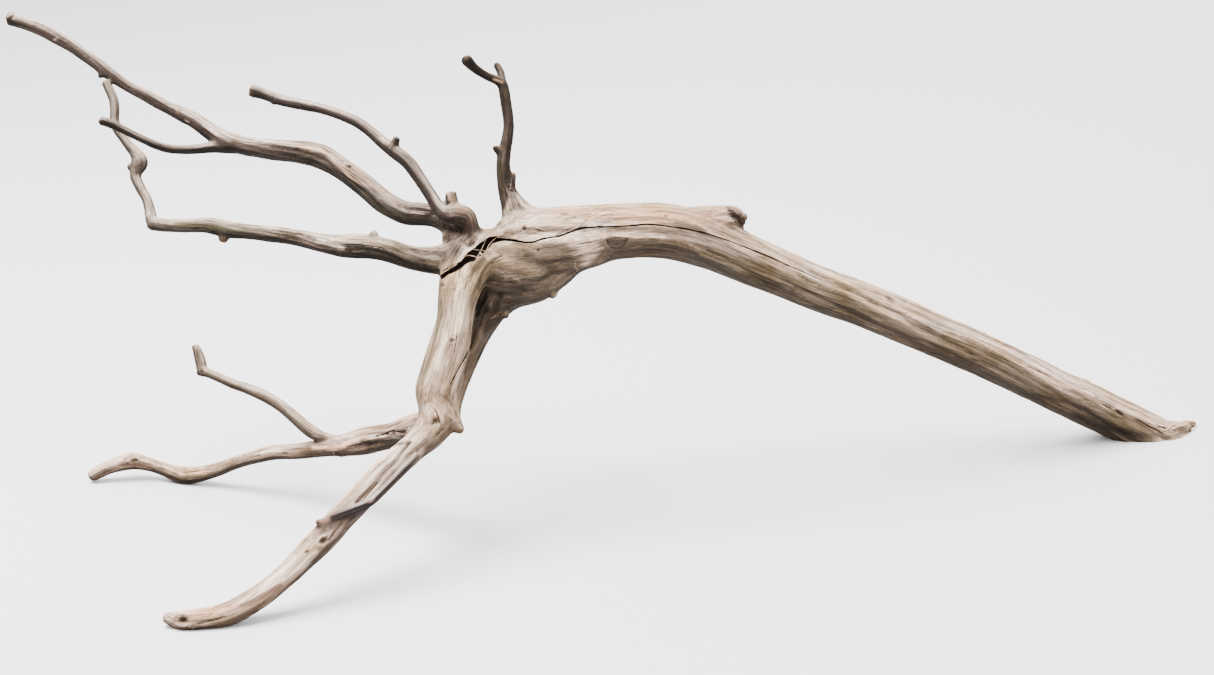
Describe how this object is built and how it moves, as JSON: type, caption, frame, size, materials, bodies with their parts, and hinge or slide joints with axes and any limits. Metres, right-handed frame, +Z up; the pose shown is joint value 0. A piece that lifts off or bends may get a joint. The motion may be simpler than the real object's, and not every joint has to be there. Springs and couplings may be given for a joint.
{
  "type": "driftwood branch",
  "caption": "Weathered driftwood branch: a long straight trunk rising to a cracked hub with bent limbs above and spread legs below, standing on its ends.",
  "frame": {"origin": "on the ground, under the middle of the branch's bounding box", "axes": "+X along the branch towards the thick trunk's cut end, +Y away from the viewer of the picture, +Z up"},
  "size_m": [1.0416, 0.4062, 0.3929],
  "materials": {
    "weathered_wood": "bare, sun-bleached grey-tan with darker undersides, matte"
  },
  "bodies": {
    "root": {"driftwood": "weathered_wood"}
  },
  "joints": []
}
